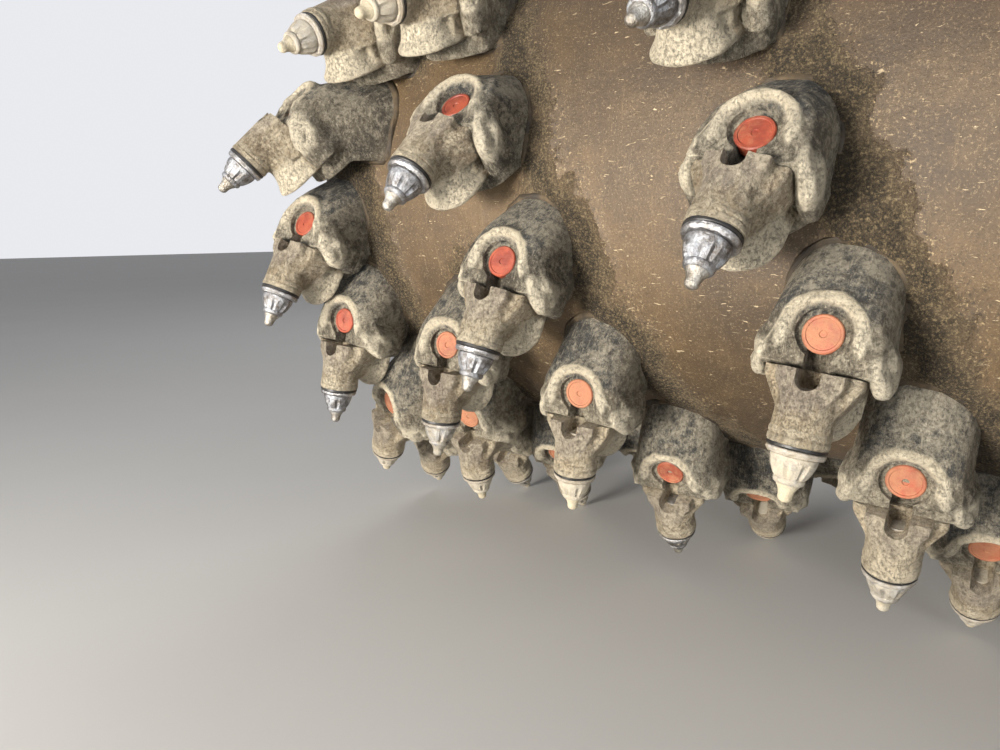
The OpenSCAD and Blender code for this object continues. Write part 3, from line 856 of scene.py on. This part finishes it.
def paddle_form():
    """An ejector's wear plate with bolt heads. X is the way it moves, Z is outwards."""
    upright = turn("Y", 90)
    bm = bmesh.new()
    slab(bm, [(-352, -51.5), (-352, 51.5), (-438, 51.5), (-446, 47), (-448.5, 25), (-446.5, 4),
              (-449, -22), (-446, -46), (-436, -51.5)], 1.2, 19.4, upright)
    plate_body = rounded(as_mesh(bm, "paddle"), voxel=2.4, rounds=4)
    mark(plate_body, "worn", lambda co: max(between(co.z, 425, 447), 0.7 * between(abs(co.y), 44, 51)))
    mark(plate_body, "bare_and_shaded", lambda co: 0.8 * between(co.x, 10, 18))
    bm = bmesh.new()
    for y in (-27, 27):
        for z in (384, 416):
            at = upright @ shift(-z, y, 0)
            rod(bm, 17, 18, 21, at, 24)
            rod(bm, 13.5, 20, 27, at, 6)
            rod(bm, 13.5, 26.9, 28.5, at, 6, 11.5)
    heads = as_mesh(bm, "bolt heads")
    mark(heads, "worn", lambda co: 0.4)
    bm = bmesh.new()
    bm.from_mesh(soften(thinned(plate_body, 2600), 45))
    bm.from_mesh(soften(heads, 25))
    return as_mesh(bm, "paddle")


def bracket_form():
    """The welded bracket behind a paddle."""
    bm = bmesh.new()
    slab(bm, [(-43, 332), (0.5, 332), (0.5, 425.5), (-22, 425.5), (-43, 365)],
         -40.5, 40.5, turn("X", 90))
    body = rounded(as_mesh(bm, "bracket"), voxel=2.6, rounds=7)
    mark(body, "worn", lambda co: max(between(co.z, 405, 424), 0.6 * between(abs(co.y), 33, 40)))
    mark(body, "bare_and_shaded", lambda co: 0.3)
    return soften(thinned(body, 2000), 45)


def ejector_seats():
    """The ejectors' places round the drum's middle."""
    return [shift(0, MID_Y, 0) @ turn("Y", k * 360 / EJECTORS + EJECTOR_TURN) @ turn("Z", 180)
            for k in range(EJECTORS)]


def at_ejectors(form):
    """One mesh with a copy of the form at every ejector."""
    bm = bmesh.new()
    for seat in ejector_seats():
        copy = form.copy()
        copy.transform(TO_METRES @ seat)
        bm.from_mesh(copy)
    return as_mesh(bm, "ejectors")


piece("worn_paddles", at_ejectors(paddle_form()), "drum", [paddle_steel],
      ["ejector_paddles"])
piece("paddle_brackets", at_ejectors(bracket_form()), "drum", [ring_steel],
      ["ejector_brackets"])


# Weld beads round the bases' feet

def bead_path(tilt, side):
    """Where the base's plan meets the tube, in the frame with the tip at the origin."""
    lean = tool_lean(tilt, side)
    path = []
    outline = []
    for k in range(BEAD_POINTS // 2):
        a = math.radians(90 + 180 * k / (BEAD_POINTS // 2 - 1))
        outline.append((BASE_ROUND_X + BEAD_ARC_R * math.cos(a), BEAD_ARC_R * math.sin(a)))
    outline += [(-62, -47), (-45, -46.5), (-37, -40), (-36, -20), (-36, 0), (-36, 20), (-37, 40),
                (-45, 46.5), (-62, 47)]
    for x, y in outline:
        # Halves the stretch from inside the tube to outside it until it lies on the tube
        low, high = lean @ Vector((x, y, -260)), lean @ Vector((x, y, -60))
        for _ in range(24):
            middle = (low + high) / 2
            if math.hypot(middle.x, middle.z + TIP_R) > TUBE_R:
                high = middle
            else:
                low = middle
        path.append(high)
    return path


# Welds round the drum axis at each end. Columns: radius, distance along the drum
END_WELDS = {-1: [(306.5, 54.5)], 1: [(306, 2017), (137.5, 2017)]}


def bracket_weld(seat):
    """Where an ejector's bracket stands on the tube."""
    rim = [(-43, y) for y in range(-40, 41, 10)] + [(x, 41) for x in range(-36, 1, 9)]
    rim += [(1, y) for y in range(40, -41, -10)] + [(x, -41) for x in range(-9, -40, -9)]
    return [seat @ Vector((x, y, math.sqrt(TUBE_R ** 2 - x * x))) for x, y in rim]


def weld_beads(side):
    """Every bead of a side."""
    curve = bpy.data.curves.new("beads", "CURVE")
    curve.dimensions = "3D"
    curve.bevel_depth = BEAD_R
    curve.bevel_resolution = 1
    paths = {tilt: bead_path(tilt, side) for tilt in {row[2] for row in edge_rows()}}
    loops = []
    for angle, out, tilt in all_rows(side):
        seat = tool_seat(angle, out, side)
        loops.append([seat @ p for p in paths[tilt]])
        for p in loops[-1]:
            p.y = max(TUBE_START + 3, min(TUBE_END - 3, p.y))
    for radius, y in END_WELDS[side]:
        loops.append([turn("Y", 2 * k) @ Vector((radius, y, 0)) for k in range(180)])
    if side > 0:
        loops += [bracket_weld(seat) for seat in ejector_seats()]
    for points in loops:
        spline = curve.splines.new("POLY")
        spline.points.add(len(points) - 1)
        for point, p in zip(spline.points, points):
            point.co = (p.x, p.y, p.z, 1)
            point.radius = 0.85 + 0.35 * noise.noise(p / 9)
        spline.use_cyclic_u = True
    mesh = formed(curve, [])
    for vert in mesh.vertices:
        vert.co += vert.normal * 1.3 * noise.noise(vert.co / 7)
    mesh.transform(TO_METRES)
    return soften(mesh, 60)


for name, side in SIDES:
    piece(f"weld_beads_{name}", weld_beads(side), "drum", [weld])


# End plates, flanges and shafts, turned about the drum axis

def turned(profile, sides=120):
    """A part turned from (distance along the drum, radius) points."""
    mesh = as_mesh(lathe(profile, sides), "turned part")
    mesh.transform(turn("Z", 90))
    return mesh


def drilled(mesh, circle_r, count, low, high):
    """Bolt holes with broken edges, right through a plate."""
    drill = lathe([(low - 1, 0), (low - 1, BOLT_HOLE_R + 1.5), (low, BOLT_HOLE_R + 1.5),
                   (low + 1.5, BOLT_HOLE_R), (high - 1.5, BOLT_HOLE_R), (high, BOLT_HOLE_R + 1.5),
                   (high + 1, BOLT_HOLE_R + 1.5), (high + 1, 0)], 24)
    drill = as_mesh(drill, "drill")
    bm = bmesh.new()
    for k in range(count):
        copy = drill.copy()
        copy.transform(turn("Y", k * 360 / count) @ shift(circle_r, 0, 0) @ turn("Z", 90))
        bm.from_mesh(copy)
    return cutting(mesh, as_mesh(bm, "drills"))


def in_metres(mesh, degrees=30):
    """The mesh at its real size, with edges over the angle kept sharp."""
    mesh.transform(TO_METRES)
    return soften(mesh, degrees)


flange = drilled(turned([(0, 34.1), (0, 118), (2.5, 120), (2.5, 176), (0, 178), (0, 283.5), (1.5, 285),
                         (28.5, 285), (30, 283.5), (30, 194), (33, 190), (88.5, 190), (90, 188.5),
                         (90, 34.1)]), DRIVE_CIRCLE_R, DRIVE_BOLTS, 0, 30)
piece("turned_drive_flange", in_metres(flange), "root", [turned_steel],
      ["drive_flange"])
journal = drilled(turned([(1915, 0), (1915, 73), (1917, 75), (2046, 75), (2050, 79), (2050, 208.5),
                          (2051.5, 210), (2078.5, 210), (2080, 208.5), (2080, 98), (2077.5, 96),
                          (2077.5, 42), (2080, 40), (2080, 0)]), BEARING_CIRCLE_R, BEARING_BOLTS,
                  2050, 2080)
piece("turned_journal", in_metres(journal), "root", [turned_steel],
      ["bearing_journal"])
bm = bmesh.new()
slab(bm, [(-61, -5), (-14, -5), (-11, -3), (-10, 0), (-11, 3), (-14, 5), (-61, 5)],
     25, 40, turn("Z", 90))
keyway = as_mesh(bm, "keyway")
shaft = cutting(turned([(-60, 0), (-57, 4), (-60, 7), (-60, 28.5), (-58.5, 30), (-5.5, 30), (-5, 33),
                        (-4, 34), (149, 34), (149, 0)], 72), keyway)
piece("keyed_input_shaft", in_metres(shaft), "input", [turned_steel], ["input_shaft"])
end_ring = turned([(55, 197.5), (55, 307.5), (80, 307.5), (80, 196), (56.5, 196)])
piece("welded_end_ring", in_metres(end_ring), "drum", [ring_steel], ["drive_end_ring"])
end_plate = turned([(1990, 135.5), (1990, 307.5), (2015, 307.5), (2015, 135.5)])
piece("welded_end_plate", in_metres(end_plate), "drum", [ring_steel],
      ["bearing_end_plate"])
hub = turned([(1905, 76.5), (1905, 133), (1907, 135), (2023, 135), (2025, 133), (2025, 112),
              (2022.5, 110.5), (2022.5, 92), (2025, 90.5), (2025, 76.5), (2023.5, 75.1),
              (1906.5, 75.1)])
piece("turned_hub", in_metres(hub), "drum", [turned_steel], ["bearing_hub"])

# Closed inside the tube: these keep their plain shape
for node, material in (("output_flange", turned_steel), ("gear_case", case_paint)):
    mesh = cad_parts[node].data
    mesh.materials.clear()
    mesh.materials.append(material)


# Floor, light and camera

floor_z = cad_box[0].z
bm = bmesh.new()
bmesh.ops.create_grid(bm, x_segments=2, y_segments=2, size=14)
bmesh.ops.translate(bm, verts=bm.verts, vec=(0, 0, floor_z))
floor = bpy.data.objects.new("floor", as_mesh(bm, "floor"))
bpy.context.scene.collection.objects.link(floor)
f = Finish("floor_pale")
floor.data.materials.append(f.done(f.blend(f.noise(3, 2), linear(214, 213, 210), linear(220, 219, 217)),
                                   0.8, 0.0))

# The backdrop's strength where it lights the drum, and where it is seen
LIGHT_ON_DRUM = 0.22
LIGHT_SEEN = 0.86

world = bpy.data.worlds.new("studio")
bpy.context.scene.world = world
world.use_nodes = True
tree = world.node_tree
backdrop = tree.nodes["Background"]
path = tree.nodes.new("ShaderNodeLightPath")
seen = path.outputs["Is Camera Ray"]
for ray in ("Is Glossy Ray", "Is Transmission Ray"):
    either = tree.nodes.new("ShaderNodeMath")
    either.operation = "MAXIMUM"
    tree.links.new(seen, either.inputs[0])
    tree.links.new(path.outputs[ray], either.inputs[1])
    seen = either.outputs[0]
level = tree.nodes.new("ShaderNodeMapRange")
level.inputs["To Min"].default_value = LIGHT_ON_DRUM
level.inputs["To Max"].default_value = LIGHT_SEEN
tree.links.new(seen, level.inputs["Value"])
tree.links.new(level.outputs["Result"], backdrop.inputs["Strength"])
backdrop.inputs["Color"].default_value = (0.95, 0.96, 1.0, 1.0)


def softbox(name, place, target, size, watts, tint):
    """A square lamp that looks at the target."""
    light = bpy.data.lights.new(name, "AREA")
    light.shape = "RECTANGLE"
    light.size, light.size_y = size
    light.energy = watts
    light.color = tint
    obj = bpy.data.objects.new(name, light)
    obj.location = place
    obj.rotation_mode = "QUATERNION"
    obj.rotation_quaternion = (Vector(target) - Vector(place)).to_track_quat("-Z", "Y")
    bpy.context.scene.collection.objects.link(obj)


# Columns: name, place, what it points at, size, watts, tint
softbox("key", (-2.4, 1.95, -0.2), (-0.3, 1.2, -0.2), (0.7, 0.5), 104, (1.0, 0.95, 0.88))
softbox("fill", (-2.0, -0.9, 0.2), (-0.2, 0.9, -0.1), (1.4, 1.2), 30, (0.9, 0.95, 1.0))
softbox("rim", (2.2, 2.8, 2.4), (0.0, 1.2, 0.0), (2.0, 1.4), 24, (1.0, 1.0, 1.0))

# The camera, fitted to the photo's tools: sensor and lens in millimetres, its place in metres
SENSOR = 36.0
LENS = 26.99
CAMERA_PLACE = (-0.98934, 1.19705, -0.06489)
CAMERA_HEADING = 39.25
CAMERA_DROP = 11.0

camera = bpy.data.objects.new("camera", bpy.data.cameras.new("camera"))
bpy.context.scene.collection.objects.link(camera)
camera.data.sensor_width = SENSOR
camera.data.lens = LENS
camera.data.clip_start = 0.02
camera.location = CAMERA_PLACE
heading = math.radians(CAMERA_HEADING)
drop = math.radians(CAMERA_DROP)
look = Vector((math.cos(drop) * math.cos(heading), math.cos(drop) * math.sin(heading),
               -math.sin(drop)))
camera.rotation_mode = "QUATERNION"
camera.rotation_quaternion = look.to_track_quat("-Z", "Y")
bpy.context.scene.camera = camera
bpy.context.scene.view_settings.view_transform = "Standard"
